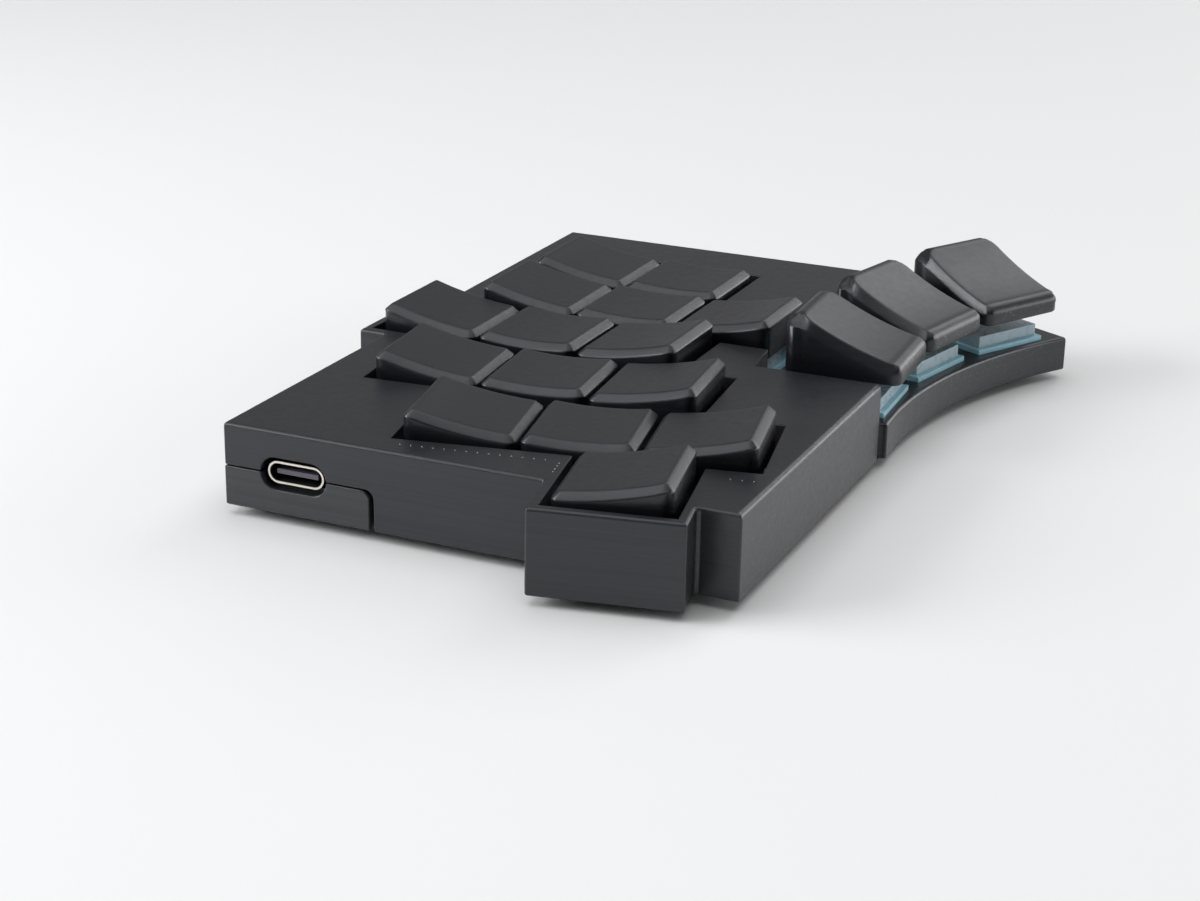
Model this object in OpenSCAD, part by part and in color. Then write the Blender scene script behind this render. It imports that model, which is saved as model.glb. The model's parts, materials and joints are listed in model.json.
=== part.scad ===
// Left half of a split ergonomic keyboard: a printed case, low switches in splayed finger
// columns and a thumb fan, and the boards, battery and fasteners that the case holds.
// +X runs from the little finger to the thumb, +Y points away from the user, +Z is up.
// Plan positions are measured from the middle finger's home key, heights from the case's
// underside, and in_place() then moves the whole to its own frame.

/* [Case] */
// Distance from the little finger's home cap to the west wall
west_border = 11.25; // [10.8:0.05:14]
// Distance from the inner column's caps to the east wall
east_border = 13.45; // [12:0.05:17]
// Distance from the index finger's top cap to the north wall
north_border = 6.15; // [5.8:0.05:7]
// Distance from the little finger's bottom cap to the south wall
south_border = 5.6; // [5.4:0.05:8]
// Height of the case's top above its underside
case_h = 12.5; // [11:0.1:13.5]
// Thickness of the outer walls
wall_t = 1.5; // [1.3:0.1:1.8]
// Thickness of the plate that the switches clip into
plate_t = 1.2; // [1:0.1:1.4]
// Radius of the hollow corners beside the outer key's box and the north bump
fillet_r = 0.8; // [0.5:0.1:4.5]
// Width of the slit between the south wall and the thumb wall
slit_w = 1.4; // [0.8:0.1:1.8]
// Depth of that slit
slit_d = 1; // [0.5:0.1:1.1]

/* [Bottom cover] */
// Thickness of the bottom cover
cover_t = 1.2; // [1:0.1:1.6]
// Gap between the cover and the walls around it
cover_gap = 0.2; // [0.1:0.05:0.3]
// Height of the cover's raised corner, where the seam runs past the port
seam_z = 6; // [5.2:0.1:6.4]
// Length of the raised corner along the west wall
seam_west = 23.5; // [22:0.5:26]
// Length of the raised corner along the north wall
seam_north = 22; // [20:0.5:25]
// Radius of the raised corner's rounded end
seam_r = 1.4; // [0.8:0.1:2]
// Gap between the raised corner's end and the west wall
seam_gap = 0.7; // [0.2:0.05:0.9]
// Diameter of the rubber feet
foot_d = 8; // [6:0.5:9]
// Height of the rubber feet
foot_h = 1.5; // [1:0.1:3]

/* [Keys] */
// Gap between the caps of a column
row_gap = 0.5; // [0.4:0.05:1.5]
// Width of a finger cap
cap_w = 17.5; // [16.5:0.1:17.6]
// Depth of a finger cap
cap_d = 16.5; // [15.8:0.1:16.6]
// Radius of a cap's upright corners
cap_r = 1.6; // [0.8:0.1:2.5]
// Height of a cap's rim above the top of its stem, at its lowest point
deck_t = 1.9; // [1.4:0.1:2.4]
// Width of the bevel along a cap's rim
rim = 1.1; // [0.4:0.1:1.3]
// Radius of the hollow top of a home cap
home_dish_r = 55; // [40:1:90]
// Radius of the hollow top of a tilted cap
tilt_dish_r = 62; // [50:1:90]
// Distance from a tilted cap's middle to the lowest line of its hollow top
tilt_shift = 11; // [9:0.5:14]
// Bevel along the ends of a cap
crest = 0.7; // [0.3:0.1:1.2]
// Clearance between the caps and the case at their sides
pocket_side = 1.4; // [1:0.1:1.6]
// Clearance between the caps and the case at their ends
pocket_end = 1; // [0.8:0.1:1.2]
// Distance that a key travels
travel = 3; // [2:0.1:3.4]

/* [Finger columns] */
// Gap between the home caps of the little and the ring finger
pinky_gap = 1.6; // [1.4:0.1:2]
// Place of the little finger's home key, along
pinky_y = -25.2; // [-25.6:0.1:-24.8]
// Turn of the little finger's column
pinky_turn = 11.2; // [10:0.1:12]
// Gap between the home caps of the ring and the middle finger
ring_gap = 2.4; // [2.3:0.1:2.6]
// Place of the ring finger's home key, along
ring_y = -9.9; // [-10.2:0.1:-9.6]
// Turn of the ring finger's column
ring_turn = 5.4; // [5:0.1:6]
// Gap between the caps of the middle, index and inner columns
column_gap = 0.9; // [0.6:0.1:1.2]
// Place of the index finger's home key, along
index_y = -8.4; // [-9:0.1:-7.5]
// Place of the inner column's home key, along
inner_y = -9.4; // [-10.5:0.1:-8.5]
// Gap between the little finger's bottom cap and the outer cap, across
outer_gap = 1.5; // [1.1:0.1:1.9]
// Distance from the little finger's bottom key to the outer key, along
outer_along = 7.9; // [7:0.1:9]

/* [Thumb keys] */
// Distance from the index finger's column to the first thumb key, across
thumb_across = 7.6; // [7.2:0.1:8]
// Gap between the index finger's bottom cap and the first thumb cap
thumb_gap = 5.12; // [4.8:0.02:5.6]
// Radius of the thumb fan at the keys' middles
fan_r = 77.8; // [77:0.1:78.6]
// Direction of the first thumb key, from straight ahead
fan_first = -2.5; // [-3:0.1:-1.5]
// Gap between the thumb caps at their south ends
fan_gap = 1.3; // [1:0.1:1.7]
// Width of a thumb cap
thumb_w = 17; // [16:0.1:17.3]
// Reach of a thumb cap to the south of its stem
thumb_south = 10; // [9:0.1:10.5]
// Reach of a thumb cap to the north of its stem
thumb_north = 8.6; // [8.2:0.1:9.5]
// Height of a thumb cap's south edge above the top of its stem
thumb_deck_t = 2.7; // [2.2:0.1:3.2]
// Radius of the hollow top of a thumb cap
thumb_dish_r = 54.5; // [48:0.5:60]
// Distance from a thumb cap's stem to the lowest line of its hollow top's circle
thumb_shift = 21.6; // [20:0.1:23]
// Width of the bevel along a thumb cap's rim
thumb_rim = 0.8; // [0.5:0.1:1]
// Height of that bevel
thumb_rim_h = 1.7; // [1.2:0.1:2]
// Bevel along a thumb cap's south lip
lip = 1.3; // [0.6:0.1:1.8]
// Bevel along a thumb cap's north edge
thumb_crest = 3.6; // [3:0.1:4]
// Radius of the thumb base's hollow south wall
thumb_wall_r = 88; // [80:1:120]
// Room between the middle thumb switch and that wall
front_room = 1; // [0.8:0.1:1.6]
// Room between the last thumb switch and the base's east wall
end_room = 4; // [3.8:0.1:5.6]
// Room between the last thumb switch and the base's north wall
back_room = 0.8; // [0.6:0.1:2.6]
// Clearance between the thumb caps and the case behind them
notch_gap = 4.4; // [4:0.1:5]

/* [Switches] */
// Side of a switch's square body
switch_w = 13.8; // [13.6:0.1:14]
// Clearance between a switch's body and its cut-out in the plate
cutout_gap = 0.1; // [0.05:0.05:0.15]
// Width of a switch's flange around its body
flange_lip = 0.6; // [0.4:0.05:0.7]
// Thickness of a switch's flange
flange_t = 0.8; // [0.6:0.1:1]
// Height of a switch's body between the board and its flange
switch_base_h = 2.2; // [2.1:0.1:2.6]
// Inset of a switch's upper housing from its body
head_inset = 0.2; // [0.1:0.05:0.4]
// Thickness of the upper housing's roof
head_roof = 0.6; // [0.5:0.1:0.8]
// Thickness of the housings' side walls
housing_wall = 0.7; // [0.5:0.1:0.8]
// Thickness of the lower housing's floor
base_floor = 0.6; // [0.5:0.1:0.8]
// Width of a stem, across the key
stem_w = 10.2; // [9.8:0.1:10.6]
// Depth of a stem, along the key
stem_d = 4.4; // [4.2:0.1:4.8]
// Width of the shoulder that holds a stem in its housing
shoulder = 0.6; // [0.4:0.1:0.8]
// Thickness of that shoulder
shoulder_t = 0.65; // [0.5:0.05:0.8]
// Clearance between a stem and the upper housing
stem_gap = 0.12; // [0.05:0.01:0.2]
// Distance between a cap's two legs
leg_pitch = 5.7; // [5.5:0.1:6]
// Width of a cap's leg
leg_w = 1.2; // [1:0.1:1.3]
// Depth of a cap's leg
leg_d = 3; // [2.6:0.1:3.2]
// Length of a cap's leg
leg_len = 3; // [2:0.1:3]
// Clearance between a leg and its slot
leg_gap = 0.05; // [0.02:0.01:0.1]
// Outer diameter of a return spring
spring_d = 3; // [2.8:0.1:3.2]
// Wire thickness of a return spring
spring_wire = 0.3; // [0.2:0.05:0.35]
// Turns of a return spring
spring_turns = 4; // [3:1:5]
// Depth of the stem's bore around the spring
spring_bore = 2.9; // [2:0.1:3]
// Clearance between a spring and the bore around it
spring_gap = 0.3; // [0.2:0.05:0.35]
// Diameter of the post under a switch
post_d = 3.4; // [3:0.1:3.6]
// Width of a switch's contact pins
pin_w = 1.2; // [0.8:0.1:1.3]
// Thickness of a switch's contact pins
pin_t = 0.3; // [0.2:0.05:0.4]

/* [Boards] */
// Thickness of the circuit board
board_t = 1.2; // [1:0.1:1.6]
// Room under the board for the soldered pins
pin_room = 1.2; // [1.1:0.1:1.6]
// Gap between the board and the walls around it
board_gap = 0.3; // [0.2:0.05:0.5]
// Clearance around pins and posts in the board
hole_gap = 0.15; // [0.1:0.05:0.2]
// Length of the controller board
ctrl_l = 21; // [20:0.1:21]
// Width of the controller board
ctrl_w = 17.8; // [17:0.1:18]
// Thickness of the controller board
ctrl_t = 0.8; // [0.8:0.1:1.2]
// Distance from the north wall to the port's middle
port_side = 11.3; // [11.1:0.1:11.6]
// Width of the port's metal shell
port_w = 9.1; // [8.9:0.1:9.3]
// Height of the port's metal shell
port_h = 3.3; // [3.1:0.1:3.4]
// Length of the port's metal shell
port_l = 7.4; // [6.5:0.1:8]
// Wall of the port's metal shell
port_t = 0.3; // [0.2:0.05:0.4]
// Gap between the port's shell and the case around it
port_gap = 0.75; // [0.3:0.05:0.8]
// Depth of the port's mouth behind the west wall
port_recess = 0.85; // [0:0.05:1]
// Length of the port's tongue
tongue_l = 5.2; // [4:0.1:5.6]
// Length and width of the controller's metal shield
shield_w = 10.5; // [9:0.1:11]
// Height of the controller's metal shield
shield_h = 1.8; // [1.2:0.1:2]
// Place of the power switch along the north wall
power_x = -27; // [-28:0.5:-26]
// Distance that the power switch's slider travels
power_travel = 2; // [1.5:0.1:2]

/* [Battery] */
// Length of the battery
cell_l = 20; // [18:0.5:20]
// Width of the battery
cell_d = 15; // [13:0.5:15]
// Thickness of the battery
cell_t = 5; // [3:0.1:6]
// Thickness of the foam pad under the battery
pad_t = 0.5; // [0.3:0.1:1]
// Clearance around the battery
cell_gap = 0.4; // [0.3:0.1:0.5]
// Diameter of a battery lead
lead_d = 0.8; // [0.5:0.1:0.8]

/* [Fasteners] */
// Outer diameter of a threaded insert
insert_d = 3.2; // [3:0.1:3.4]
// Length of a threaded insert
insert_l = 3; // [2.5:0.1:3]
// Diameter of a case screw's shank
screw_d = 1.9; // [1.6:0.1:2]
// Diameter of a case screw's head
head_d = 3.8; // [3.4:0.1:4]
// Height of a case screw's head
head_h = 0.9; // [0.7:0.1:1]
// Width across the corners of the hexagon socket in a screw's head
socket_d = 1.5; // [1.2:0.1:1.6]
// Depth of that socket
socket_h = 0.8; // [0.5:0.1:0.9]
// Length of a case screw
screw_l = 4; // [3:0.1:4.1]
// Diameter of the bosses that hold the inserts
boss_d = 5; // [4.6:0.1:5.2]
// Clearance around inserts and screws
fit_gap = 0.05; // [0.02:0.01:0.1]

/* [Hidden] */
$fn = 48;
eps = 0.01;
over = 1;
charcoal = "#3c3d3f";
light_blue = "#8fc3d8";
clear_white = "#dfe8ea";
steel = "#c9c9c4";
board_green = "#1f2b25";

// Widths and places that follow from the caps and the switches
flange_w = switch_w + 2 * flange_lip;
head_w = switch_w - 2 * head_inset;
row_pitch = cap_d + row_gap;
ring_x = -cap_w - ring_gap;
pinky_x = ring_x - cap_w - pinky_gap;
index_x = cap_w + column_gap;
inner_x = 2 * index_x;
outer_across = cap_w + outer_gap;
fan_step = 2 * asin((thumb_w + fan_gap) / 2 / (fan_r - thumb_south));
fan_x = index_x - thumb_across - fan_r * sin(fan_first);
fan_y = index_y - row_pitch - cap_d / 2 - thumb_gap - thumb_north - fan_r * cos(fan_first);
west = cap_w / 2 + west_border - pinky_x;
east = inner_x + cap_w / 2 + east_border;
north = index_y + row_pitch + cap_d / 2 + north_border;
south = row_pitch * cos(pinky_turn) + cap_d / 2 + south_border - pinky_y;
thumb_wall_gap = switch_w / 2 + front_room + wall_t;
thumb_end = switch_w / 2 + end_room + wall_t;
thumb_back = switch_w / 2 + back_room + wall_t;
port_y = north - port_side;

// Heights from the case's underside, worked up from the cover to the caps
board_z = cover_t + pin_room;
board_top = board_z + board_t;
plate_top = board_top + switch_base_h;
plate_under = plate_top - plate_t;
flange_top = plate_top + flange_t;
floor_top = board_top + base_floor;
stop_gap = 0.1;
rest_gap = 0.05;
stem_low = floor_top + travel + stop_gap;
roof_under = stem_low + shoulder_t + rest_gap;
head_top = roof_under + head_roof;
stem_top = head_top + travel + stop_gap;
cap_skirt = 0.3;
cap_low = stem_top - cap_skirt;
ctrl_top = board_top + ctrl_t;
port_z = ctrl_top + port_h / 2;
pin_gap = 0.2;
pin_low = cover_t + pin_gap;

// Keys as [name, x, y, turn, row], where row is 1, 0 or -1, or 2 for a thumb key
function turned(p, a) = [p[0] * cos(a) - p[1] * sin(a), p[0] * sin(a) + p[1] * cos(a)];
function from_key(k, p) = [k[1], k[2]] + turned(p, k[3]);
function key_from(name, k, p, row) = concat([name], from_key(k, p), [k[3], row]);
function fan_angle(i) = fan_first + i * fan_step;
function on_fan(i, r) = [fan_x, fan_y] + r * [sin(fan_angle(i)), cos(fan_angle(i))];

TOP = 1;
HOME = 0;
BOTTOM = -1;
THUMB = 2;
// Columns as [name, x, y, turn, number of keys], placed by their home key and counted from the top
columns = [
    ["pinky", pinky_x, pinky_y, pinky_turn, 3],
    ["ring", ring_x, ring_y, ring_turn, 3],
    ["middle", 0, 0, 0, 3],
    ["index", index_x, index_y, 0, 3],
    ["inner", inner_x, inner_y, 0, 2],
];
rows = [["_top", TOP], ["_home", HOME], ["_bottom", BOTTOM]];
column_keys = [for (c = columns) for (i = [0:c[4] - 1])
    key_from(str(c[0], rows[i][0]), c, [0, rows[i][1] * row_pitch], rows[i][1])];
pinky_bottom = column_keys[2];
ring_top = column_keys[3];
ring_bottom = column_keys[5];
middle_top = column_keys[6];
index_bottom = column_keys[11];
outer_key = key_from("outer", pinky_bottom, [-outer_across, outer_along], BOTTOM);
thumb_names = ["thumb_tucked", "thumb_home", "thumb_reach"];
thumb_keys = [for (i = [0:2]) concat([thumb_names[i]], on_fan(i, fan_r), [-fan_angle(i), THUMB])];
finger_keys = concat(column_keys, [outer_key]);
keys = concat(finger_keys, thumb_keys);

// Plan of the case
pocket_w = cap_w + 2 * pocket_side;
pocket_d = cap_d + 2 * pocket_end;
bridge = 3.2;
thumb_mid = thumb_keys[1];
thumb_last = thumb_keys[2];
wall_centre = from_key(thumb_mid, [0, -thumb_wall_r - thumb_wall_gap]);
notch_r = fan_r + thumb_north + notch_gap;
link_east = index_x + pocket_w / 2;
link_south = fan_y + sqrt(notch_r * notch_r - pow(link_east - fan_x, 2)) - over;

// Middle of the plan's box, which the part's own frame stands on
box_corner = from_key(outer_key, [-pocket_w / 2 - wall_t, pocket_d / 2 + wall_t]);
end_corner = from_key(thumb_last, [thumb_end, thumb_back]);
end_centre = turned(wall_centre - [thumb_last[1], thumb_last[2]], -thumb_last[3]);
end_reach = end_centre[1] + sqrt(pow(thumb_wall_r, 2) - pow(thumb_end - end_centre[0], 2));
south_corner = from_key(thumb_last, [thumb_end, end_reach]);
bump_north = middle_top[2] + pocket_d / 2 + wall_t;
middle_x = (box_corner[0] + end_corner[0]) / 2;
middle_y = (bump_north + south_corner[1]) / 2;

// Screws, feet, port and battery
boss_r = boss_d / 2;
boss_gap = 0.4;
boss_in = wall_t + boss_r + boss_gap;
corner_gap = 2.5;
corner_in = wall_t + boss_r + corner_gap;
west_screw_shift = 4.5;
screw_places = [
    [-west + boss_in, pinky_y + west_screw_shift],
    [-west + corner_in, -south + boss_in],
    [(pinky_bottom[1] + ring_bottom[1]) / 2, -south + boss_in],
    [east - corner_in, north - corner_in],
    [east - corner_in, inner_y - row_pitch],
    on_fan(1.5, fan_r + boss_r),
];
foot_in = wall_t + foot_d;
foot_places = [
    [-west + foot_in, north - foot_in],
    [east - foot_in - foot_d, north - foot_in],
    [-west + foot_in, -south + foot_in],
    on_fan(0.5, fan_r),
    on_fan(2, fan_r),
];
ctrl_gap = 0.4;
ctrl_x = -west + wall_t + ctrl_gap;
port_x = -west + port_recess;
bay_w = 14.4;
cell_x = -cell_l - cell_gap - wall_t;
cell_y = -south + wall_t + cell_gap;
cell_z = cover_t + pad_t;
power_w = 6.7;
power_d = 2.8;
power_h = 1.4;
power_y = north - wall_t - board_gap;
nub_w = 1.5;
nub_h = 0.7;
carriage_w = 2.2;
carriage_d = 1.4;
power_skin = 0.4;
slide_gap = 0.1;
nub_z = board_top + power_h / 2;
scoop_w = 9;
scoop_h = 4;
scoop_d = 0.9;
lead_z = board_top + lead_d / 2;
lead_gap = 0.2;
lead_pitch = lead_d + lead_gap;
lead_end_gap = 1.5;
shield_edge = 1.5;
tongue_w = 6.7;
tongue_t = 0.7;
tongue_recess = 0.5;
cell_r = 1.5;
pad_inset = 1;

// Small pieces of a switch, its diode and its cap
contact_x = 5;
contact_gap = 0.8;
spring_post_gap = 0.2;
spring_post_h = 0.8;
diode_l = 1.6;
diode_w = 1.2;
diode_h = 0.8;
diode_shift = 3;
tab_l = 0.2;
tab_w = 0.6;
tab_t = 0.2;
skirt_t = 0.5;

fixed_nodes = ["top_shell", "bottom_cover", "switch_lower_housings", "switch_upper_housings",
    "return_springs", "switch_contacts", "circuit_board", "diodes", "controller_board",
    "controller_shield", "usb_shell", "usb_tongue", "battery", "battery_pad", "battery_leads",
    "power_switch_body", "power_switch_slider", "case_screws", "threaded_inserts", "rubber_feet"];
cap_nodes = [for (k = keys) str("keycap_", k[0])];
stem_nodes = [for (k = keys) str("stem_", k[0])];

module in_place() {
    translate([-middle_x, -middle_y, foot_h]) children();
}

module at_key(k) {
    translate([k[1], k[2], 0]) rotate(k[3]) children();
}

module at_each_key() {
    for (k = keys) at_key(k) children();
}

module block(w, d, low, high) {
    translate([-w / 2, -d / 2, low]) cube([w, d, high - low]);
}

module round_rectangle(w, d, r) {
    square([w - 2 * r, d], center = true);
    square([w, d - 2 * r], center = true);
    for (x = [-1, 1]) for (y = [-1, 1]) translate([x * (w / 2 - r), y * (d / 2 - r)]) circle(r);
}

module stadium(w, h) {
    square([w - h, h], center = true);
    for (s = [-1, 1]) translate([s * (w - h) / 2, 0]) circle(h / 2);
}

// Stands a plan up against the west wall: its x runs along +Y, its y up, its depth along +X
module facing_west() {
    rotate([90, 0, 90]) children();
}

// Fills the hollow corner between two walls that leave the point v at angles a and b, with b ahead of a
module hollow_corner(v, a, b, r) {
    half = (b - a) / 2;
    tangent = r / tan(half);
    out = [cos(a + half), sin(a + half)];
    centre = v + r / sin(half) * out;
    foot_a = v + tangent * [cos(a), sin(a)];
    foot_b = v + tangent * [cos(b), sin(b)];
    bite = 0.4;
    crossing = 0.05;
    difference() {
        polygon([
            foot_a, centre, foot_b,
            foot_b + bite * [cos(b + 90), sin(b + 90)],
            v - bite * out,
            foot_a + bite * [cos(a - 90), sin(a - 90)],
        ]);
        translate(centre - crossing * out) circle(r);
    }
}

module main_plan(inset) {
    translate([-west + inset, -south + inset])
        square([west + east - 2 * inset, south + north - 2 * inset]);
    at_key(middle_top)
        square([pocket_w + 2 * (wall_t - inset), pocket_d + 2 * (wall_t - inset)], center = true);
    at_key(outer_key)
        square([pocket_w + 2 * (wall_t - inset), pocket_d + 2 * (wall_t - inset)], center = true);
}

// Point where a side of the outer key's box, given by its offset, meets the west wall
function box_meets(offset_y) = let (p = from_key(outer_key, [0, offset_y]), a = outer_key[3])
    [-west, p[1] + (-west - p[0]) * tan(a)];

module corner_plan() {
    a = outer_key[3];
    half = pocket_d / 2 + wall_t;
    bump = pocket_w / 2 + wall_t;
    hollow_corner(box_meets(half), 90, 180 + a, fillet_r);
    hollow_corner(box_meets(-half), 180 + a, 270, fillet_r);
    hollow_corner([-bump, north], 90, 180, fillet_r);
    hollow_corner([bump, north], 0, 90, fillet_r);
}

module thumb_plan(inset) {
    edge = slit_w + inset;
    difference() {
        polygon([
            [edge, -south + 2 * wall_t],
            from_key(thumb_last, [-2 * thumb_end, thumb_back - inset]),
            from_key(thumb_last, [thumb_end - inset, thumb_back - inset]),
            from_key(thumb_last, [thumb_end - inset, -1.5 * thumb_end]),
            [edge, south_corner[1]],
        ]);
        translate(wall_centre) circle(thumb_wall_r + inset, $fn = 180);
    }
}

module low_plan(inset) {
    main_plan(inset);
    thumb_plan(inset);
}

module high_plan() {
    difference() {
        union() {
            main_plan(0);
            corner_plan();
        }
        intersection() {
            translate([fan_x, fan_y]) circle(notch_r, $fn = 180);
            translate([0, fan_y]) square([2 * east, 2 * notch_r]);
        }
    }
}

module pocket_plan() {
    at_key(outer_key) square([pocket_w, pocket_d], center = true);
    for (c = columns) at_key(c) translate([0, (len(rows) - c[4]) * row_pitch / 2])
        square([pocket_w, (c[4] - 1) * row_pitch + pocket_d], center = true);
    for (c = [columns[0], columns[1]])
        at_key(c) square([pocket_w / 2 + bridge, row_pitch + cap_d / 2]);
    translate([index_x - pocket_w / 2, link_south])
        square([link_east - index_x + pocket_w / 2, index_bottom[2] - link_south]);
}

// The cover's raised corner beside the controller, or the room for it when grown by gaps
module raised_corner(grow, end_grow) {
    end_y = north - seam_west - end_grow;
    top = seam_z + grow;
    difference() {
        translate([-west, end_y, 0]) cube([seam_north + grow, seam_west + end_grow, top]);
        translate([-west + wall_t + grow, end_y - over, cover_t])
            cube([seam_north, seam_west - wall_t + over, top]);
        translate([-west - over, end_y, top - seam_r]) facing_west()
            linear_extrude(wall_t + 2 * over) difference() {
                translate([-over, 0]) square([seam_r + over, seam_r + over]);
                translate([seam_r, 0]) circle(seam_r);
            }
    }
}

module port_opening() {
    translate([-west - over, port_y, port_z]) facing_west() linear_extrude(wall_t + 2 * over)
        stadium(port_w + 2 * port_gap, port_h + 2 * port_gap);
}

module at_each(places) {
    for (p = places) translate(p) children();
}

module inner_hollow() {
    difference() {
        translate([0, 0, -over]) linear_extrude(plate_under + over) low_plan(wall_t);
        at_each(screw_places) translate([0, 0, cover_t]) cylinder(r = boss_r, h = plate_under);
    }
}

module controller_bay() {
    room = board_gap;
    translate([ctrl_x - room, port_y - ctrl_w / 2 - room, cover_t])
        cube([ctrl_l + 2 * room, ctrl_w + 2 * room, ctrl_top + room - cover_t]);
    translate([ctrl_x - room, port_y - bay_w / 2, cover_t])
        cube([ctrl_l, bay_w, ctrl_top + port_h + room - cover_t]);
}

module battery_bay() {
    translate([cell_x - cell_gap, cell_y - cell_gap, 0])
        cube([cell_l + 2 * cell_gap, cell_d + 2 * cell_gap, cell_z + cell_t + cell_gap]);
}

module power_bay() {
    body_room = board_gap;
    slot_w = power_travel + nub_w + 2 * body_room;
    translate([power_x, power_y - power_d / 2, 0])
        block(power_w + 2 * body_room, power_d + 2 * body_room, board_z, board_top + power_h + body_room);
    translate([power_x, north, nub_z])
        cube([slot_w, 2 * (wall_t + over), nub_h + 2 * body_room], center = true);
    translate([power_x, north, nub_z]) cube([scoop_w, 2 * scoop_d, scoop_h], center = true);
}

module top_shell() {
    cut = switch_w + 2 * cutout_gap;
    color(charcoal) difference() {
        union() {
            linear_extrude(plate_top) {
                low_plan(0);
                corner_plan();
            }
            linear_extrude(case_h) high_plan();
        }
        inner_hollow();
        translate([0, 0, plate_top]) linear_extrude(case_h) pocket_plan();
        at_each_key() block(cut, cut, plate_under - over, plate_top + over);
        controller_bay();
        battery_bay();
        power_bay();
        port_opening();
        raised_corner(cover_gap, seam_gap);
        at_each(screw_places) translate([0, 0, cover_t - eps])
            cylinder(d = insert_d + 2 * fit_gap, h = insert_l + fit_gap + eps);
        translate([0, -south - 2 * over, -over]) cube([slit_w, slit_d + 2 * over, case_h + 2 * over]);
    }
}

module bottom_cover() {
    color(charcoal) difference() {
        union() {
            linear_extrude(cover_t) low_plan(wall_t + cover_gap);
            raised_corner(0, 0);
        }
        port_opening();
        at_each(screw_places) {
            translate([0, 0, -over]) cylinder(d = screw_d + 4 * fit_gap, h = cover_t + 2 * over);
            translate([0, 0, -eps])
                cylinder(d1 = head_d + 2 * fit_gap, d2 = screw_d + 2 * fit_gap, h = head_h + fit_gap);
        }
    }
}

module contact_places() {
    translate([0, switch_w / 2 - housing_wall - pin_t]) children();
    translate([contact_x, stem_d / 2 + shoulder + contact_gap]) children();
}

module lower_housing() {
    inner_w = switch_w - 2 * housing_wall;
    difference() {
        union() {
            block(switch_w, switch_w, board_top, plate_top);
            block(flange_w, flange_w, plate_top, flange_top);
            translate([0, 0, pin_low]) cylinder(d = post_d, h = floor_top - pin_low);
        }
        block(inner_w, inner_w, floor_top, flange_top + over);
        contact_places() block(pin_w + 2 * fit_gap, pin_t + 2 * fit_gap, board_z, flange_top);
    }
    translate([0, 0, floor_top - eps])
        cylinder(d = spring_d - 2 * spring_wire - 2 * spring_post_gap, h = spring_post_h);
}

module switch_lower_housings() {
    color(light_blue) at_each_key() lower_housing();
}

module upper_housing() {
    inner_w = head_w - 2 * housing_wall;
    difference() {
        block(head_w, head_w, flange_top, head_top);
        block(inner_w, inner_w, flange_top - over, roof_under);
        block(stem_w + 2 * stem_gap, stem_d + 2 * stem_gap, roof_under - over, head_top + over);
    }
}

module switch_upper_housings() {
    color(clear_white) at_each_key() upper_housing();
}

// One spring as a square wire swept up a helix, from the housing's floor to the top of the stem's bore
module spring() {
    steps = 8;
    low = floor_top + spring_wire / 2 + eps;
    high = stem_low + spring_bore - spring_wire / 2 - eps;
    count = spring_turns * steps;
    middle_r = (spring_d - spring_wire) / 2;
    half = spring_wire / 2;
    corners = [[-half, -half], [half, -half], [half, half], [-half, half]];
    points = [for (i = [0:count]) let (a = 360 * i / steps, z = low + (high - low) * i / count)
        for (c = corners) [(middle_r + c[0]) * cos(a), (middle_r + c[0]) * sin(a), z + c[1]]];
    sides = [for (i = [0:count - 1]) for (j = [0:3]) let (p = 4 * i + j, q = 4 * i + (j + 1) % 4)
        each [[p, p + 4, q], [q, p + 4, q + 4]]];
    last = 4 * count;
    ends = [[0, 1, 2], [0, 2, 3], [last + 2, last + 1, last], [last + 3, last + 2, last]];
    polyhedron(points, concat(sides, ends));
}

module return_springs() {
    color(steel) at_each_key() spring();
}

module switch_contacts() {
    color("#c8a25a") at_each_key() contact_places() block(pin_w, pin_t, pin_low, plate_top);
}

module board_holes() {
    at_each_key() {
        circle(d = post_d + 2 * hole_gap);
        contact_places() circle(d = pin_w + 2 * hole_gap);
    }
    at_each(screw_places) circle(d = boss_d + 2 * board_gap);
    translate([cell_x - cell_gap, -south])
        square([cell_l + 2 * cell_gap, wall_t + 3 * cell_gap + cell_d]);
}

module circuit_board() {
    inset = wall_t + board_gap;
    color(board_green) translate([0, 0, board_z]) difference() {
        union() {
            linear_extrude(board_t) main_plan(inset);
            linear_extrude(board_t) thumb_plan(inset);
        }
        translate([0, 0, -over]) linear_extrude(board_t + 2 * over) board_holes();
    }
}

module diode() {
    translate([-diode_l / 2, -diode_w / 2, board_top]) cube([diode_l, diode_w, diode_h]);
    translate([-diode_l / 2 - tab_l, -tab_w / 2, board_top]) cube([diode_l + 2 * tab_l, tab_w, tab_t]);
}

// A diode lies midway to the next row for a finger's switch, and to the west of a thumb's switch
module diodes() {
    color("#1a1a1c") {
        for (k = finger_keys) at_key(k) translate([diode_shift, -row_pitch / 2]) diode();
        for (k = thumb_keys) at_key(k) translate([-switch_w / 2 - diode_w, -diode_shift]) rotate(90) diode();
    }
}

module controller_board() {
    color("#20262c") translate([ctrl_x, port_y - ctrl_w / 2, board_top]) cube([ctrl_l, ctrl_w, ctrl_t]);
}

module controller_shield() {
    color(steel) translate([ctrl_x + ctrl_l - shield_w - shield_edge, port_y - shield_w / 2, ctrl_top])
        cube([shield_w, shield_w, shield_h]);
}

module usb_shell() {
    color(steel) translate([port_x, port_y, port_z]) facing_west() difference() {
        linear_extrude(port_l) stadium(port_w, port_h);
        translate([0, 0, -over]) linear_extrude(port_l - port_t + over)
            stadium(port_w - 2 * port_t, port_h - 2 * port_t);
    }
}

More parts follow.
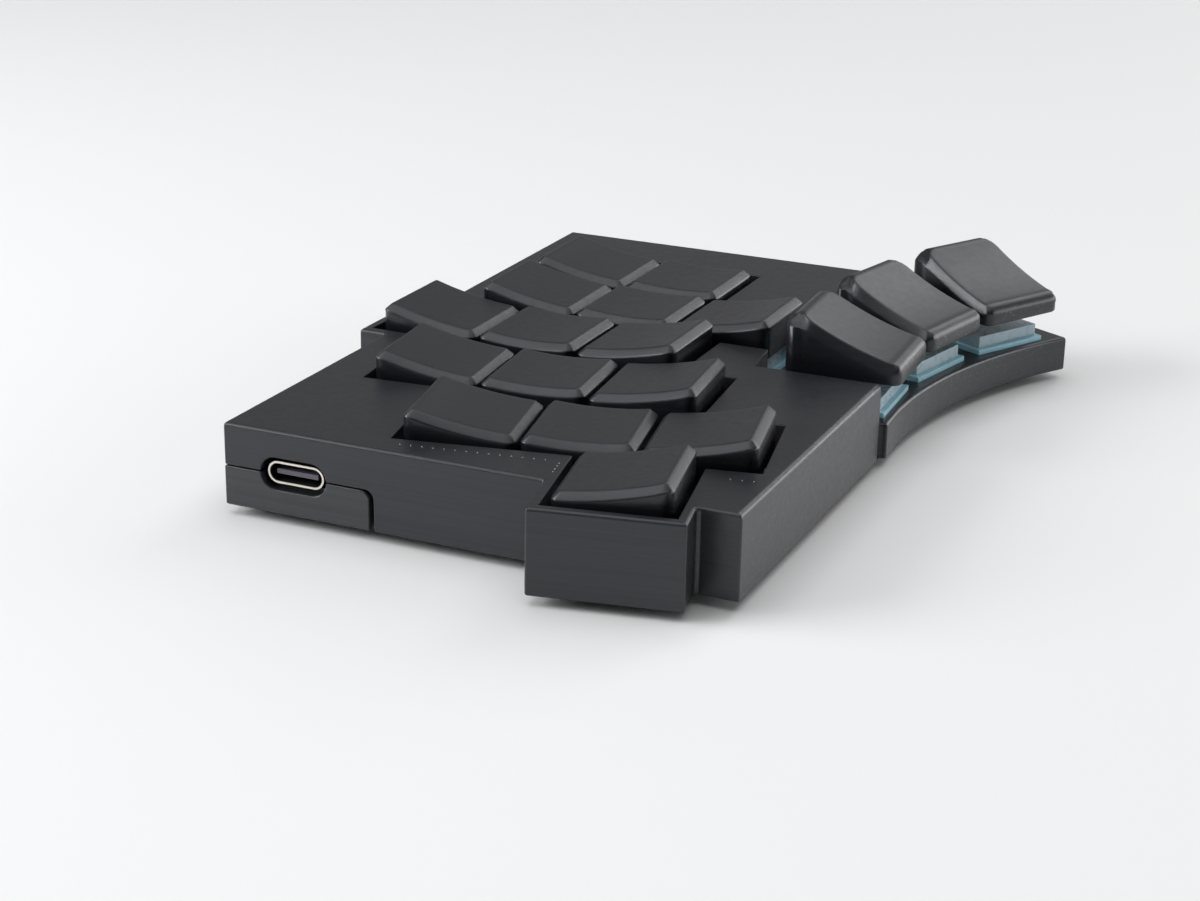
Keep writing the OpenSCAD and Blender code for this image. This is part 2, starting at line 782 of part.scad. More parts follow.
module usb_tongue() {
    block_l = port_l - port_t - tongue_l - tongue_recess;
    color("#2a2a2e") translate([port_x, port_y, port_z]) facing_west() {
        translate([0, 0, port_l - port_t - block_l]) linear_extrude(block_l)
            stadium(port_w - 2 * port_t, port_h - 2 * port_t);
        translate([-tongue_w / 2, -tongue_t / 2, port_l - port_t - block_l - tongue_l])
            cube([tongue_w, tongue_t, tongue_l + eps]);
    }
}

module battery() {
    color("#b9bcc0") translate([cell_x + cell_l / 2, cell_y + cell_d / 2, cell_z])
        linear_extrude(cell_t) round_rectangle(cell_l, cell_d, cell_r);
}

module battery_pad() {
    color("#2b2b2b") translate([cell_x + pad_inset, cell_y + pad_inset, cover_t])
        cube([cell_l - 2 * pad_inset, cell_d - 2 * pad_inset, pad_t]);
}

// Straight runs of round lead with a ball at each bend
module lead(points) {
    for (i = [0:len(points) - 2]) {
        run = points[i + 1] - points[i];
        translate([points[i][0], points[i][1], lead_z]) {
            rotate([0, 90, atan2(run[1], run[0])]) cylinder(d = lead_d, h = norm(run));
            if (i > 0) sphere(d = lead_d);
        }
    }
}

module battery_leads() {
    cell_north = cell_y + cell_d;
    ring_east = from_key(ring_bottom, [switch_w / 2, -switch_w / 2])[0];
    ring_north = from_key(ring_top, [switch_w / 2, switch_w / 2])[1];
    lane_x = (ring_east - switch_w / 2 + lead_pitch) / 2;
    lane_y = (ring_north + power_y - power_d + lead_pitch) / 2;
    colours = ["#8c2020", "#202020"];
    for (i = [0, 1]) {
        shift = i * lead_pitch;
        color(colours[i]) lead([
            [lane_x - shift, cell_north],
            [lane_x - shift, lane_y - shift],
            [ctrl_x + ctrl_l + lead_end_gap, lane_y - shift],
        ]);
    }
}

module power_switch_body() {
    cavity_w = power_travel + carriage_w + 2 * slide_gap;
    cavity_d = carriage_d + 2 * slide_gap;
    cavity_low = board_top + power_skin / 2;
    cavity_high = board_top + power_h - power_skin / 2;
    slot_w = power_travel + nub_w + 2 * slide_gap;
    color("#1d1d1f") translate([power_x, power_y - power_d / 2, 0]) difference() {
        block(power_w, power_d, board_top, board_top + power_h);
        translate([0, power_d / 2 - power_skin - cavity_d / 2, 0])
            block(cavity_w, cavity_d, cavity_low, cavity_high);
        translate([0, power_d / 2, nub_z])
            cube([slot_w, 2 * (power_skin + over), nub_h + 2 * slide_gap], center = true);
    }
}

module power_switch_slider() {
    off_x = power_x - power_travel / 2;
    reach = north - power_y;
    carriage_low = board_top + power_skin / 2 + slide_gap;
    carriage_high = board_top + power_h - power_skin / 2 - slide_gap;
    color("#d8d8d4") translate([off_x, power_y, 0]) {
        translate([0, -power_skin - slide_gap - carriage_d / 2, 0])
            block(carriage_w, carriage_d, carriage_low, carriage_high);
        translate([-nub_w / 2, -power_skin - slide_gap - eps, nub_z - nub_h / 2])
            cube([nub_w, power_skin + slide_gap + reach + eps, nub_h]);
    }
}

module case_screws() {
    color(steel) at_each(screw_places) difference() {
        union() {
            cylinder(d1 = head_d, d2 = screw_d, h = head_h);
            translate([0, 0, head_h - eps]) cylinder(d = screw_d, h = screw_l - head_h + eps);
        }
        translate([0, 0, -over]) cylinder(d = socket_d, h = socket_h + over, $fn = 6);
    }
}

module threaded_inserts() {
    color("#b08d4a") at_each(screw_places) translate([0, 0, cover_t]) difference() {
        cylinder(d = insert_d, h = insert_l);
        translate([0, 0, -over]) cylinder(d = screw_d + 2 * fit_gap, h = insert_l + 2 * over);
    }
}

module rubber_feet() {
    color("#1b1b1c") at_each(foot_places) translate([0, 0, -foot_h]) cylinder(d = foot_d, h = foot_h);
}

// Cutter for a hollow top: a drum across the key that flares at the rim, so that the rim gets its bevel
module dish(r, y, low, w, rim_w, rim_h) {
    end = w / 2 + over;
    flat = w / 2 - rim_w;
    flare = r + (end - flat) * rim_h / rim_w;
    translate([0, y, low + r]) rotate([0, 90, 0]) rotate_extrude($fn = 180)
        polygon([[0, -end], [flare, -end], [r, -flat], [r, flat], [flare, end], [0, end]]);
}

// Bevel of an edge that runs across the key
module end_bevel(y, z, size) {
    translate([0, y, z]) rotate([45, 0, 0])
        cube([2 * cap_w, size * sqrt(2), size * sqrt(2)], center = true);
}

// Height of a dish above its lowest line, at a distance along the key
function dish_rise(r, along) = r - sqrt(r * r - along * along);

module cap_legs() {
    for (s = [-1, 1]) translate([s * leg_pitch / 2, 0, 0])
        block(leg_w, leg_d, stem_top - leg_len, stem_top + eps);
}

module cap_underside(w, d) {
    inner_w = head_w + 2 * skirt_t;
    block(min(inner_w, w - 2 * skirt_t), min(inner_w, d - 2 * skirt_t), cap_low - over, stem_top);
}

// A cap that reaches south and north of its stem, under a hollow top of radius r whose lowest line is at shift
module cap(w, south, north, r, shift, low, rim_w, rim_h, south_bevel, north_bevel) {
    depth = south + north;
    south_edge = low + dish_rise(r, south + shift);
    north_edge = low + dish_rise(r, north - shift);
    difference() {
        translate([0, (north - south) / 2, cap_low])
            linear_extrude(max(south_edge, north_edge) + over - cap_low)
            round_rectangle(w, depth, cap_r);
        dish(r, shift, low, w, rim_w, rim_h);
        end_bevel(-south, south_edge, south_bevel);
        end_bevel(north, north_edge, north_bevel);
        cap_underside(w, depth);
    }
    cap_legs();
}

module finger_cap(row) {
    r = row == HOME ? home_dish_r : tilt_dish_r;
    cap(cap_w, cap_d / 2, cap_d / 2, r, -row * tilt_shift, stem_top + deck_t, rim, rim, crest, crest);
}

module thumb_cap() {
    low = stem_top + thumb_deck_t - dish_rise(thumb_dish_r, thumb_shift - thumb_south);
    cap(thumb_w, thumb_south, thumb_north, thumb_dish_r, -thumb_shift, low, thumb_rim, thumb_rim_h,
        lip, thumb_crest);
}

module keycap(k) {
    color(charcoal) at_key(k) {
        if (k[4] == THUMB) thumb_cap();
        else finger_cap(k[4]);
    }
}

module stem(k) {
    slot_w = leg_w + 2 * leg_gap;
    slot_d = leg_d + 2 * leg_gap;
    color("#e6e2d6") at_key(k) difference() {
        union() {
            block(stem_w, stem_d, stem_low, stem_top);
            block(stem_w + 2 * shoulder, stem_d + 2 * shoulder, stem_low, stem_low + shoulder_t);
        }
        for (s = [-1, 1]) translate([s * leg_pitch / 2, 0, 0])
            block(slot_w, slot_d, stem_top - leg_len - leg_gap, stem_top + over);
        translate([0, 0, stem_low - over])
            cylinder(d = spring_d + 2 * spring_gap, h = spring_bore + over);
    }
}

in_place() top_shell();
in_place() bottom_cover();
in_place() switch_lower_housings();
in_place() switch_upper_housings();
in_place() return_springs();
in_place() switch_contacts();
in_place() circuit_board();
in_place() diodes();
in_place() controller_board();
in_place() controller_shield();
in_place() usb_shell();
in_place() usb_tongue();
in_place() battery();
in_place() battery_pad();
in_place() battery_leads();
in_place() power_switch_body();
in_place() power_switch_slider();
in_place() case_screws();
in_place() threaded_inserts();
in_place() rubber_feet();
for (k = keys) {
    in_place() keycap(k);
    in_place() stem(k);
}
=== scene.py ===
"""Looks of the left half of a split ergonomic keyboard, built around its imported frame."""
import json
import math

import bmesh
import bpy
from mathutils import Matrix, Vector


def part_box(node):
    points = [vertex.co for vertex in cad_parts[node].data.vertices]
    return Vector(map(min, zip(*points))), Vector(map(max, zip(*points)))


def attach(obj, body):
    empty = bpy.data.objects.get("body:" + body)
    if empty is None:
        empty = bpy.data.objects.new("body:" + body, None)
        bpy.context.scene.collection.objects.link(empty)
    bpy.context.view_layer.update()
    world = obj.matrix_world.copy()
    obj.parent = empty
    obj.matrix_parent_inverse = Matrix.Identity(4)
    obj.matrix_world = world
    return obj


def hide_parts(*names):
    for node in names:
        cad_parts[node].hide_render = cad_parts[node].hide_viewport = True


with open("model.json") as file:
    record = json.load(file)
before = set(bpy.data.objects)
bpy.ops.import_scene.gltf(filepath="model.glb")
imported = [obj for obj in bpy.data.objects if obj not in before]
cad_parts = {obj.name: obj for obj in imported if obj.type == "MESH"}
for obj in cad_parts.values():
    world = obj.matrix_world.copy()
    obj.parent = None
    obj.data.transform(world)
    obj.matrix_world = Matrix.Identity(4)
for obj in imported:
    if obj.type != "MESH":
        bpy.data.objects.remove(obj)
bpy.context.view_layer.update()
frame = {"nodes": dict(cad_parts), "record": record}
cad_nodes = frame["nodes"]
slots = {part["node"]: part["material_slot"] for part in frame["record"]["subparts"]}

MM = 0.001

# Keys, named as in the frame: the way each row's caps tilt, and each column's turn in degrees
ROWS = {"top": 1, "home": 0, "bottom": -1}
COLUMN_TURN = {"pinky": 11.2, "ring": 5.4, "middle": 0, "index": 0, "inner": 0}
THUMBS = ("thumb_tucked", "thumb_home", "thumb_reach")

# Finger caps, in millimetres, with heights from the stem's top
CAP_WIDTH = 17.5
CAP_DEPTH = 16.5
CAP_SKIRT = 1.8
CAP_DECK = 1.9
CAP_RIM = 1.1
HOME_DISH = 55
TILT_DISH = 62
TILT_SHIFT = 11

# Thumb caps, in millimetres, with heights from the stem's top
THUMB_WIDTH = 17
THUMB_SOUTH = 10
THUMB_NORTH = 8.6
THUMB_SKIRT = 0.3
THUMB_DECK = 2.7
THUMB_DISH = 54.5
THUMB_SHIFT = 21.6
THUMB_RIM = 0.8
THUMB_RIM_HEIGHT = 1.7
THUMB_LIP = 1.9
THUMB_CREST = 2.4
THUMB_TURN_IN = 2.2

# Shapes that all caps share, in millimetres
CAP_CORNER = 1.6
CAP_WALL = 1.5
CAP_FOOT = 0.25
HOLLOW_CORNER = 0.4
SOFT_EDGE = 0.28
LEG_PITCH = 5.7
LEG_WIDTH = 1.2
LEG_DEPTH = 3
LEG_LENGTH = 3

# Fan of the thumb keys: turns in degrees, radius and gap in millimetres
FAN_FIRST = -2.5
FAN_RADIUS = 77.8
FAN_GAP = 1.3
FAN_STEP = 2 * math.degrees(math.asin((THUMB_WIDTH + FAN_GAP) / 2 / (FAN_RADIUS - THUMB_SOUTH)))

# Caps' meshes: steps of each stretch, the distance in millimetres that joins points, and the sharp angle
CORNER_STEPS = 6
SIDE_STEPS = 20
BEND_STEPS = 4
CAP_SAME_POINT = 0.01
CAP_SHARP = math.radians(50)

# Rows of tiny dots that the print left on the case's top: first and last place in millimetres, and count
DOT_ROWS = (
    ((-54.54, 17.55), (-50.92, -3.02), 14),
    ((-51.25, -5.3), (-54.6, -5.9), 4),
    ((-46.49, -28.35), (-45.89, -31.53), 3),
)
DOT_RADIUS = 0.12

# Colours
CHARCOAL = (0.0105, 0.011, 0.0145)
# Case and cover walls are painted paler than the charcoal of their level faces: painted light that stands in
# for the light the walls catch
CASE_WALL_PAINTED_LIGHT = (0.018, 0.0185, 0.022)
COVER_WALL_PAINTED_LIGHT = (0.032, 0.0325, 0.036)
SPECK = (0.16, 0.16, 0.17)
# Pale grey of the print dots is a painted glint on blobs of the dark plastic
DOT_PAINTED_GLINT = (0.3, 0.3, 0.32)
FLOOR_COLOUR = (0.84, 0.845, 0.85)
FLOOR_GLOW = (0.86, 0.865, 0.875)
WORLD_COLOUR = (0.97, 0.98, 1.0)

# Printed plastic: grains per metre, shares of each pattern, and pairs of limits
LAYER_GRAINS = (14, 14, 4600)
BAND_GRAINS = (7, 7, 1100)
RASTER_GRAINS = (2600, 50, 50)
RASTER_TURN = 45
GRIT_GRAINS = 5200
SPOT_GRAINS = 2600
PATCH_GRAINS = 900
BAND_SHARE = 0.45
GRIT_SHARE = 0.5
LEVEL_CONTRAST = 0.5
STREAK_SWING = 0.2
STREAK_DARK = 0.72
STREAK_PALE = 1.32
LEVEL_FACING = (0.5, 0.8)
SOUTH_FACING = (-0.95, -0.6)
SPOT_LIMITS = (0.68, 0.76)
WALL_ROUGH = (0.3, 0.36)
LEVEL_ROUGH = (0.38, 0.44)
PRINT_SPECULAR = 0.6
PRINT_TINT = (0.94, 0.96, 1.0)

# Socket's plating: depths behind its mouth, in millimetres, where it starts to turn rough and dark and where
# it is fully rough and painted near black as painted shade
PLATED_DEPTH = 0.05
DULL_AND_SHADED_DEPTH = 0.2
MOUTH_ROUGH = 0.28
INSIDE_ROUGH = 0.6

# Tracks on the boards: bricks per metre, and the gap between them as a share
TRACK_GRAINS = 420
TRACK_WIDTH = 0.12

# Limits between which noise mostly stays
NOISE_LOW = 0.3
NOISE_HIGH = 0.7

# Places on the printed case, in millimetres. POCKET_LOW is counted from CASE_LOW
CASE_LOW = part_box("top_shell")[0].z / MM
CASE_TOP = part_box("top_shell")[1].z / MM
SOUTH_WALL = -34.33
PORT_MIDDLE = sum(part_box("usb_shell"), Vector()) / 2 / MM
PORT_HALF_WIDTH = 6.5
PORT_HALF_HEIGHT = 3
POCKET_LOW = 3

# Widths of the roundings on the printed case's edges, in millimetres
PORT_EDGE = 0.2
UPRIGHT_EDGE = 0.35
SHELL_FOOT_EDGE = 0.4
UNDER_EDGE = 0.12
POCKET_EDGE = 0.15
SOUTH_TOP_EDGE = 0.9
TOP_EDGE = 0.55
COVER_FOOT_EDGE = 0.35
COVER_EDGE = 0.25
ROUNDING_STEPS = 3

# Limits for sorting the printed case's edges: lengths in millimetres, a normal's height, and angles
SAME_POINT = 0.002
SAME_HEIGHT = 0.1
SAME_WALL = 0.2
UPRIGHT_RISE = 0.5
STEEP = 0.5
FLAT = math.radians(0.5)
SHARP = math.radians(35)

# Camera fitted to the photograph: lengths in its pixels, the sensor in millimetres, the near limit in metres
IMAGE_WIDTH = 1200
FOCAL_PIXELS = 2337
SENSOR_WIDTH = 36
CLIP_START = 0.01
CAMERA_PLACE = Vector((-321.2, -130.4, 125.9)) * MM
CAMERA_YAW = math.radians(23.805)
CAMERA_PITCH = math.radians(20.278)
CAMERA_ROLL = math.radians(1.047)

# Floor: in metres half its side and where it starts to fade and is fully pale, then its roughness
FLOOR_HALF = 6
FLOOR_LIT = 0.55
FLOOR_PALE = 1.3
FLOOR_ROUGH = 0.6

# Light: each soft box has a name, a place, an aim, a width and a height in metres, and a power in watts
WORLD_STRENGTH = 0.08
SOFT_BOXES = (
    ("overhead", (0.05, -0.14, 1.2), (0.05, -0.14, 0), 1.5, 1.5, 8.9),
    ("east_panel", (1.26, -0.3, 0.985), (0, 0, 0), 0.6, 0.75, 4.4),
    ("east_wall", (1.3, 0.52, 0.4), (0, 0, 0.1), 2.0, 0.7, 1.15),
    ("south_east_panel", (0.95, -0.95, 0.3), (0, 0, 0), 1.6, 0.45, 9.0),
    ("north_west_panel", (-0.36, 0.58, 0.32), (0, 0, 0), 0.45, 0.35, 4.0),
    ("high_north_west_panel", (-0.5, 0.64, 1.06), (0, 0, 0), 1.0, 1.0, 3.8),
)


# Small helpers for shader trees
def new_material(name):
    material = bpy.data.materials.new(name)
    material.use_nodes = True
    tree = material.node_tree
    return material, tree, tree.nodes["Principled BSDF"]


def plug(tree, value, socket):
    """Link an output to a socket, or set a plain value on it."""
    if isinstance(value, bpy.types.NodeSocket):
        tree.links.new(value, socket)
    else:
        socket.default_value = value


def add(tree, kind, settings=None, **inputs):
    """New node with its settings and inputs, which go by name, or by number as i0, i1 and so on."""
    node = tree.nodes.new(kind)
    for name, value in (settings or {}).items():
        setattr(node, name, value)
    for name, value in inputs.items():
        numbered = name.startswith("i") and name[1:].isdigit()
        plug(tree, value, node.inputs[int(name[1:]) if numbered else name])
    return node


def math_node(tree, operation, a, b=0.0):
    return add(tree, "ShaderNodeMath", {"operation": operation}, i0=a, i1=b).outputs[0]


def place_scaled(tree, scale, turn=0.0):
    """Place on the object, scaled along each axis and turned about Z by degrees."""
    where = add(tree, "ShaderNodeTexCoord").outputs["Object"]
    rotation = (0, 0, math.radians(turn))
    return add(tree, "ShaderNodeMapping", Vector=where, Scale=scale, Rotation=rotation).outputs["Vector"]


def noise(tree, grains, detail=2.0, turn=0.0):
    """Noise whose grain is given as grains per metre, for each axis or for all."""
    scale = grains if isinstance(grains, tuple) else (grains, grains, grains)
    vector = place_scaled(tree, scale, turn)
    return add(tree, "ShaderNodeTexNoise", Vector=vector, Scale=1.0, Detail=detail).outputs["Fac"]


def remap(tree, value, low, high, new_low, new_high):
    """Value that runs from low to high, made to run from new_low to new_high."""
    node = add(tree, "ShaderNodeMapRange", Value=value)
    limits = {"From Min": low, "From Max": high, "To Min": new_low, "To Max": new_high}
    for name, number in limits.items():
        node.inputs[name].default_value = number
    return node.outputs["Result"]


def spread(tree, texture, low, high):
    """Noise stretched to run from low to high."""
    return remap(tree, texture, NOISE_LOW, NOISE_HIGH, low, high)


def mix(tree, kind, sockets, values):
    node = add(tree, "ShaderNodeMix", {"data_type": kind})
    for index, value in zip(sockets, values):
        plug(tree, value, node.inputs[index])
    return [socket for socket in node.outputs if socket.enabled][0]


def mix_value(tree, factor, a, b):
    return mix(tree, "FLOAT", (0, 2, 3), (factor, a, b))


def mix_colour(tree, factor, a, b):
    return mix(tree, "RGBA", (0, 6, 7), (factor, a, b))


def rgb(colour, gain=1.0):
    return tuple(min(1.0, part * gain) for part in colour) + (1.0,)


def shades(tree, factor, colour, dark, pale):
    """Colour that runs from a darker to a paler gain of itself."""
    return mix_colour(tree, factor, rgb(colour, dark), rgb(colour, pale))


def paint(tree, shader, colour):
    tree.links.new(colour, shader.inputs["Base Color"])


def roughen(tree, shader, value):
    tree.links.new(value, shader.inputs["Roughness"])


def bump(tree, shader, height, strength, depth_mm):
    node = add(tree, "ShaderNodeBump", Height=height, Strength=strength, Distance=depth_mm * MM)
    tree.links.new(node.outputs["Normal"], shader.inputs["Normal"])


# Materials
def printed_plastic(name, wall, specks):
    """Printed plastic: layers on walls, raster lines on level faces, pale specks on south faces; walls take
    the given colour, which is painted light where it is paler than the charcoal of level faces.
    """
    material, tree, shader = new_material(name)
    normal = add(tree, "ShaderNodeNewGeometry").outputs["Normal"]
    facing = add(tree, "ShaderNodeSeparateXYZ", Vector=normal).outputs
    level = remap(tree, math_node(tree, "ABSOLUTE", facing["Z"]), *LEVEL_FACING, 0.0, 1.0)
    layers = noise(tree, LAYER_GRAINS, detail=1.0)
    bands = noise(tree, BAND_GRAINS)
    raster = noise(tree, RASTER_GRAINS, detail=1.0, turn=RASTER_TURN)
    grit = noise(tree, GRIT_GRAINS)
    wall_lines = mix_value(tree, BAND_SHARE, layers, bands)
    top_lines = mix_value(tree, GRIT_SHARE, raster, grit)
    height = mix_value(tree, level, wall_lines, top_lines)
    contrast = mix_value(tree, level, 1.0, LEVEL_CONTRAST)
    swing = math_node(tree, "MULTIPLY", math_node(tree, "SUBTRACT", height, 0.5), contrast)
    tone = remap(tree, swing, -STREAK_SWING, STREAK_SWING, 0.0, 1.0)
    # Upright faces take the wall colour and level faces take charcoal; for the case and cover the paler
    # walls are painted light
    dark = mix_colour(tree, level, rgb(wall, STREAK_DARK), rgb(CHARCOAL, STREAK_DARK))
    pale = mix_colour(tree, level, rgb(wall, STREAK_PALE), rgb(CHARCOAL, STREAK_PALE))
    base = mix_colour(tree, tone, dark, pale)
    spots = remap(tree, noise(tree, SPOT_GRAINS, detail=0.0), *SPOT_LIMITS, 0.0, 1.0)
    southward = remap(tree, facing["Y"], *SOUTH_FACING, specks, 0.0)
    shown = math_node(tree, "MULTIPLY", spots, southward)
    paint(tree, shader, mix_colour(tree, shown, base, rgb(SPECK)))
    patches = noise(tree, PATCH_GRAINS, detail=3.0)
    wall_rough = spread(tree, patches, *WALL_ROUGH)
    level_rough = spread(tree, patches, *LEVEL_ROUGH)
    roughen(tree, shader, mix_value(tree, level, wall_rough, level_rough))
    shader.inputs["Specular IOR Level"].default_value = PRINT_SPECULAR
    shader.inputs["Specular Tint"].default_value = rgb(PRINT_TINT)
    bump(tree, shader, height, strength=0.4, depth_mm=0.05)
    return material


def moulded_plastic(name, colour, rough=0.32):
    """Moulded plastic with a fine spark-eroded grain and a faint mottle."""
    material, tree, shader = new_material(name)
    mottle = noise(tree, grains=500, detail=3.0)
    paint(tree, shader, shades(tree, mottle, colour, dark=0.93, pale=1.06))
    roughen(tree, shader, spread(tree, noise(tree, grains=1500), low=rough - 0.05, high=rough + 0.08))
    bump(tree, shader, noise(tree, grains=9000, detail=1.0), strength=0.15, depth_mm=0.02)
    return material


def milky_plastic(name, colour):
    """Milky moulded plastic with a glossy skin and light scattered just under it."""
    material, tree, shader = new_material(name)
    mottle = noise(tree, grains=350)
    paint(tree, shader, shades(tree, mottle, colour, dark=0.94, pale=1.05))
    roughen(tree, shader, spread(tree, noise(tree, grains=900), low=0.24, high=0.34))
    shader.inputs["Subsurface Weight"].default_value = 0.35
    shader.inputs["Subsurface Radius"].default_value = (0.8, 0.9, 1.0)
    shader.inputs["Subsurface Scale"].default_value = MM
    bump(tree, shader, noise(tree, grains=3000, detail=1.0), strength=0.05, depth_mm=0.02)
    return material


def metal(name, colour, rough, grains):
    """Metal with a streaked or even grain and small changes of gloss."""
    material, tree, shader = new_material(name)
    streaks = noise(tree, grains)
    paint(tree, shader, shades(tree, streaks, colour, dark=0.85, pale=1.1))
    roughen(tree, shader, spread(tree, streaks, low=rough - 0.06, high=rough + 0.08))
    shader.inputs["Metallic"].default_value = 1.0
    bump(tree, shader, streaks, strength=0.12, depth_mm=0.02)
    return material


def port_metal(name, colour):
    """Plated socket shell: a bright mouth, and an inside that turns rough and non-metal and is painted near
    black as painted shade.
    """
    material, tree, shader = new_material(name)
    where = add(tree, "ShaderNodeTexCoord").outputs["Object"]
    depth = add(tree, "ShaderNodeSeparateXYZ", Vector=where).outputs["X"]
    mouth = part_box("usb_shell")[0].x
    inside = remap(tree, depth, mouth + PLATED_DEPTH * MM, mouth + DULL_AND_SHADED_DEPTH * MM, 0.0, 1.0)
    streaks = noise(tree, grains=(300, 3000, 3000))
    plated = shades(tree, streaks, colour, dark=0.9, pale=1.08)
    # The inside is painted near black: painted shade that deepens behind the mouth
    paint(tree, shader, mix_colour(tree, inside, plated, rgb(CHARCOAL, gain=0.3)))
    roughen(tree, shader, remap(tree, inside, 0.0, 1.0, MOUTH_ROUGH, INSIDE_ROUGH))
    tree.links.new(remap(tree, inside, 0.0, 1.0, 1.0, 0.0), shader.inputs["Metallic"])
    bump(tree, shader, streaks, strength=0.1, depth_mm=0.02)
    return material


def circuit_mask(name, colour, track):
    """Solder mask over fine copper tracks, which show as slightly paler lines."""
    material, tree, shader = new_material(name)
    vector = place_scaled(tree, (TRACK_GRAINS, TRACK_GRAINS, TRACK_GRAINS))
    bricks = add(tree, "ShaderNodeTexBrick", Vector=vector, Scale=1.0, Mortar=rgb(track))
    bricks.inputs["Mortar Size"].default_value = TRACK_WIDTH
    bricks.inputs["Color1"].default_value = rgb(colour)
    bricks.inputs["Color2"].default_value = rgb(colour, gain=1.15)
    paint(tree, shader, bricks.outputs["Color"])
    roughen(tree, shader, spread(tree, noise(tree, grains=800), low=0.3, high=0.42))
    bump(tree, shader, bricks.outputs["Fac"], strength=0.2, depth_mm=0.03)
    return material


def soft_rubber(name, colour, pores):
    """Rubber or foam with a fine pored surface."""
    material, tree, shader = new_material(name)
    holes = noise(tree, pores, detail=3.0)
    paint(tree, shader, shades(tree, holes, colour, dark=0.8, pale=1.3))
    roughen(tree, shader, spread(tree, holes, low=0.72, high=0.9))
    bump(tree, shader, holes, strength=0.4, depth_mm=0.05)
    return material


# Each slot's kind of material, and what that kind asks for after its name
LOOKS = {
    "printed_case": (printed_plastic, CASE_WALL_PAINTED_LIGHT, 0.25),
    "printed_cover": (printed_plastic, COVER_WALL_PAINTED_LIGHT, 0.25),
    "printed_cap": (printed_plastic, CHARCOAL, 0.55),
    "switch_blue": (moulded_plastic, (0.4, 0.74, 0.86)),
    "switch_clear": (milky_plastic, (0.42, 0.55, 0.61)),
    "stem_white": (moulded_plastic, (0.7, 0.68, 0.62)),
    "slider_white": (moulded_plastic, (0.66, 0.66, 0.62)),
    "lead_sleeve": (moulded_plastic, (0.25, 0.02, 0.02)),
    "black_resin": (moulded_plastic, (0.01, 0.01, 0.011), 0.45),
    "port_tongue": (moulded_plastic, (0.12, 0.115, 0.14), 0.4),
    "spring_steel": (metal, (0.55, 0.55, 0.54), 0.25, (200, 200, 6000)),
    "shield_steel": (metal, (0.6, 0.6, 0.58), 0.32, (150, 5000, 5000)),
    "port_steel": (port_metal, (0.78, 0.74, 0.66)),
    "screw_steel": (metal, (0.5, 0.5, 0.49), 0.35, (4000, 4000, 300)),
    "contact_brass": (metal, (0.6, 0.42, 0.14), 0.3, (3000, 3000, 300)),
    "insert_brass": (metal, (0.5, 0.36, 0.14), 0.35, (3000, 3000, 6000)),
    "cell_foil": (metal, (0.55, 0.56, 0.58), 0.38, (900, 900, 900)),
    "board_green": (circuit_mask, (0.012, 0.03, 0.02), (0.03, 0.06, 0.04)),
    "board_black": (circuit_mask, (0.012, 0.014, 0.018), (0.03, 0.032, 0.036)),
    "pad_foam": (soft_rubber, (0.02, 0.02, 0.02), 1200),
    "foot_rubber": (soft_rubber, (0.012, 0.012, 0.012), 4000),
}
materials = {slot: make(slot, *look) for slot, (make, *look) in LOOKS.items()}


def dress(obj, slot):
    obj.data.materials.clear()
    obj.data.materials.append(materials[slot])


for node_name, node_object in cad_nodes.items():
    dress(node_object, slots[node_name])


# Small helpers for meshes
def shade_smooth(mesh):
    for face in mesh.faces:
        face.smooth = True


def new_object(name, mesh):
    """Object in the scene with the finished mesh."""
    data = bpy.data.meshes.new(name)
    mesh.to_mesh(data)
    mesh.free()
    obj = bpy.data.objects.new(name, data)
    bpy.context.scene.collection.objects.link(obj)
    return obj


# Softened edges
def edge_ends(edge):
    return [vert.co / MM for vert in edge.verts]


def near_port(point):
    offset = point - PORT_MIDDLE
    return offset.x < 0 and abs(offset.y) < PORT_HALF_WIDTH and abs(offset.z) < PORT_HALF_HEIGHT


def shell_edge(edge):
    """Width in millimetres of the rounding that the print leaves on an edge of the top shell."""
    first, last = edge_ends(edge)
    middle = (first + last) / 2
    walls = [face for face in edge.link_faces if abs(face.normal.z) < STEEP]
    decks = [face for face in edge.link_faces if abs(face.normal.z) > STEEP]
    if near_port(middle):
        return PORT_EDGE
    if abs(first.z - last.z) > UPRIGHT_RISE:
        return UPRIGHT_EDGE
    if middle.z < CASE_LOW + SAME_HEIGHT:
        return SHELL_FOOT_EDGE
    if not walls or not decks or decks[0].normal.z < 0:
        return UNDER_EDGE
    wall_low = min(vert.co.z for vert in walls[0].verts) / MM
    if wall_low > CASE_LOW + POCKET_LOW:
        return POCKET_EDGE
    if middle.z > CASE_TOP - SAME_HEIGHT and abs(middle.y - SOUTH_WALL) < SAME_WALL:
        return SOUTH_TOP_EDGE
    return TOP_EDGE


def cover_edge(edge):
    """Width in millimetres of the rounding on an edge of the bottom cover."""
    first, last = edge_ends(edge)
    middle = (first + last) / 2
    if near_port(middle):
        return PORT_EDGE
    if middle.z < CASE_LOW + SAME_HEIGHT:
        return COVER_FOOT_EDGE
    return COVER_EDGE


